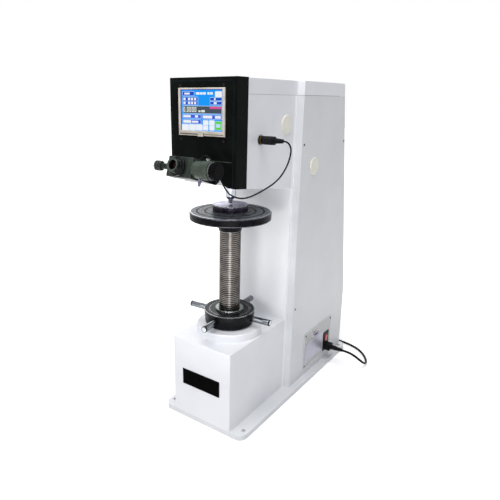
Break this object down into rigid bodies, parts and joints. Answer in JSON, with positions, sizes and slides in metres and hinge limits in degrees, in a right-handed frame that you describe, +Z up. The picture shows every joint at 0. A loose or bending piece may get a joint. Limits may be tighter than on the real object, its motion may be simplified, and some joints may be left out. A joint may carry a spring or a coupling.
{
  "type": "digital Brinell hardness tester",
  "caption": "Bench Brinell hardness tester with screw-lifted anvil, turret, ball indenter, tilted measuring eyepiece, touch display and mains lead",
  "frame": {"origin": "on the floor plane under the axis of the lifting screw and indenter, at the middle of the machine's width", "axes": "+X to the machine's right as the user faces it, +Y from the user to the rear, +Z up along the screw axis"},
  "size_m": [0.3599, 0.8273, 0.842],
  "materials": {
    "cream_paint": "satin light grey-white stove enamel",
    "black_paint": "fine matt black texture paint",
    "black_steel": "blackened steel",
    "bright_steel": "turned steel",
    "polished_steel": "ground and polished",
    "chrome": "chrome plate",
    "carbide": "polished tungsten carbide",
    "grey_alloy": "satin anodised alloy",
    "bezel_silver": "silver paint",
    "screen_glass": "lit touch screen",
    "black_plastic": "moulded black plastic",
    "cream_plastic": "moulded cream plastic",
    "red_plastic": "red rocker",
    "blue_plastic": "blue insulator in a plated shell",
    "grey_plate": "bare pale data plate",
    "lens_glass": "coated lens",
    "cord_rubber": "black flexible cord",
    "board_green": "green circuit board"
  },
  "bodies": {
    "frame": {"base_plate": "cream_paint", "pedestal": "cream_paint", "column": "cream_paint", "head_frame": "cream_paint", "rear_cabinet": "cream_paint", "rear_door": "cream_paint", "top_cap": "cream_paint", "front_cover": "black_paint", "display_panel": "black_paint", "lower_hatch": "black_paint", "display_bezel": "bezel_silver", "touch_screen": "screen_glass", "display_module": "black_plastic", "nameplate": "black_plastic", "boss_ring": "cream_paint", "thrust_bearing": "bright_steel", "screw_key": "bright_steel", "turret_bridge": "cream_paint", "load_spindle": "bright_steel", "load_cell": "bright_steel", "loading_lever": "black_steel", "lever_pin": "bright_steel", "loading_screw": "bright_steel", "motor_shelf": "cream_paint", "loading_motor": "black_paint", "control_board": "board_green", "micrometer_block": "grey_alloy", "optical_tube": "black_steel", "encoder_housing": "grey_alloy", "drum_lock_screw": "chrome", "din_socket": "chrome", "encoder_plug": "black_plastic", "hole_plugs": "cream_plastic", "access_panel": "cream_paint", "data_plate": "grey_plate", "serial_port": "blue_plastic", "power_inlet": "black_plastic", "mains_connector": "black_plastic", "case_screws": "chrome", "encoder_cable": "cord_rubber", "mains_lead": "cord_rubber", "mains_coil": "cord_rubber", "mains_plug": "black_plastic"},
    "lift": {"lead_screw": "bright_steel", "anvil": "black_steel", "test_block": "polished_steel"},
    "wheel": {"handwheel": "black_steel", "handwheel_spokes": "chrome", "screw_nut": "bright_steel"},
    "turret": {"turret_disc": "grey_alloy", "indenter_holder": "polished_steel", "objectives": "polished_steel"},
    "indenter": {"indenter_rod": "polished_steel", "indenter_ball": "carbide"},
    "eyepiece": {"eyepiece_barrel": "grey_alloy", "ocular_lens": "lens_glass"},
    "reading_knob": {"line_knob": "grey_alloy"},
    "drum": {"measuring_drum": "black_plastic"},
    "button": {"read_button": "chrome"},
    "switch": {"rocker_switch": "red_plastic"}
  },
  "joints": [
    {"name": "handwheel_turn", "type": "hinge", "parent": "frame", "child": "wheel", "pos_m": [0, 0, 0.265], "axis": [0, 0, 1], "range_deg": [-72, 14400]},
    {"name": "anvil_lift", "type": "slide", "parent": "frame", "child": "lift", "axis": [0, 0, 1], "range_m": [-0.2001, 0.00101]},
    {"name": "turret_turn", "type": "hinge", "parent": "frame", "child": "turret", "pos_m": [0, 0.034, 0.62], "axis": [0, 0, 1], "range_deg": [-120, 120]},
    {"name": "indenter_press", "type": "slide", "parent": "turret", "child": "indenter", "axis": [0, 0, 1], "range_m": [0, 0.0012], "stiffness_N_per_m": 4000},
    {"name": "eyepiece_focus", "type": "hinge", "parent": "frame", "child": "eyepiece", "pos_m": [0, -0.169, 0.6595], "axis": [0, -0.9563, 0.2924], "range_deg": [-90, 90]},
    {"name": "line_knob_turn", "type": "hinge", "parent": "frame", "child": "reading_knob", "pos_m": [-0.06, -0.169, 0.6595], "axis": [1, 0, 0], "continuous": true},
    {"name": "measuring_drum_turn", "type": "hinge", "parent": "frame", "child": "drum", "pos_m": [0.083, -0.169, 0.6595], "axis": [1, 0, 0], "continuous": true},
    {"name": "read_button_press", "type": "slide", "parent": "frame", "child": "button", "axis": [0, 0.2924, 0.9563], "range_m": [0, 0.002], "stiffness_N_per_m": 400},
    {"name": "power_rocker", "type": "hinge", "parent": "frame", "child": "switch", "pos_m": [0.109, 0.37, 0.083], "axis": [0, 1, 0], "range_deg": [-7, 7]}
  ],
  "couplings": [
    {"joint": "anvil_lift", "follows": "handwheel_turn", "m_per_rad": -0.00079577}
  ]
}
